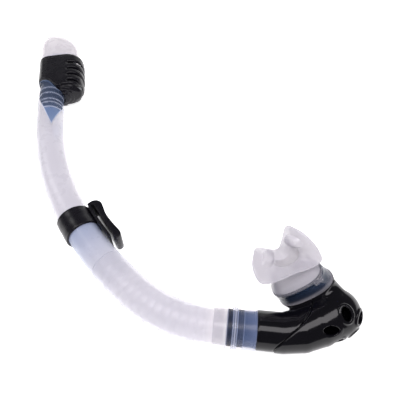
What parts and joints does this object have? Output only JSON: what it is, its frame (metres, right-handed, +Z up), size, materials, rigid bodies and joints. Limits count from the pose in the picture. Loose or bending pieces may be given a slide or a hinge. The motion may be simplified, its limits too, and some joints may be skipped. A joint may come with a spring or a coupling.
{
  "type": "snorkel tube",
  "caption": "Dry-top snorkel: curved translucent tube with float-valve housing, mask keeper hook, flexible ribbed hose, swivelling elbow with purge valve, and bite mouthpiece.",
  "frame": {"origin": "under the middle of the outline, on the surface it lies on", "axes": "+Z up from the surface, +Y from the elbow to the dry top, +X to the elbow's outer end"},
  "size_m": [0.2982, 0.3641, 0.0772],
  "materials": {
    "milky_silicone": "milky translucent, satin",
    "clear_silicone": "clear silicone, glossy",
    "gloss_black": "high gloss",
    "black_plastic": "satin",
    "float_grey": "matte",
    "seal_silicone": "matte"
  },
  "bodies": {
    "tube": {"upper_tube": "milky_silicone", "flex_hose": "milky_silicone", "valve_housing": "black_plastic", "chamber_base": "black_plastic", "top_cap": "milky_silicone", "top_adaptor": "black_plastic", "lever_bracket": "black_plastic", "lever_pin": "seal_silicone"},
    "float": {"float": "float_grey"},
    "rocker": {"float_lever": "black_plastic", "valve_seal": "seal_silicone", "seal_rivet": "seal_silicone"},
    "keeper": {"mask_keeper": "black_plastic"},
    "hose_end": {"coupling_cuff": "clear_silicone"},
    "elbow": {"hose_connector": "black_plastic", "elbow_body": "gloss_black", "purge_cover": "gloss_black", "purge_seat": "black_plastic", "mouthpiece": "clear_silicone", "mouthpiece_tie": "clear_silicone"},
    "purge_flap": {"purge_valve": "seal_silicone"}
  },
  "joints": [
    {"name": "float_slide", "type": "slide", "parent": "tube", "child": "float", "axis": [-0.1582, 0.9874, 0], "range_m": [0, 0.00195]},
    {"name": "rocker_hinge", "type": "hinge", "parent": "tube", "child": "rocker", "pos_m": [-0.12084, 0.14684, 0.0155], "axis": [0, 0, 1], "range_deg": [0, 12]},
    {"name": "keeper_slide", "type": "hinge", "parent": "tube", "child": "keeper", "pos_m": [0.18646, 0.09732, 0.0155], "axis": [0, 0, 1], "range_deg": [-4.5, 2]},
    {"name": "hose_flex", "type": "hinge", "parent": "tube", "child": "hose_end", "pos_m": [-0.00719, -0.14385, 0.0155], "axis": [0, 0, 1], "range_deg": [-25, 15], "stiffness_Nm_per_rad": 0.35, "deforming": ["flex_hose"]},
    {"name": "elbow_swivel", "type": "hinge", "parent": "hose_end", "child": "elbow", "pos_m": [0.07135, -0.1636, 0.0155], "axis": [-0.9945, 0.1045, 0], "range_deg": [-40, 40]},
    {"name": "purge_lift", "type": "slide", "parent": "elbow", "child": "purge_flap", "axis": [0.6723, -0.7403, 0], "range_m": [0, 0.001], "stiffness_N_per_m": 30}
  ],
  "couplings": [
    {"joint": "rocker_hinge", "follows": "float_slide", "rad_per_m": 107.4}
  ]
}
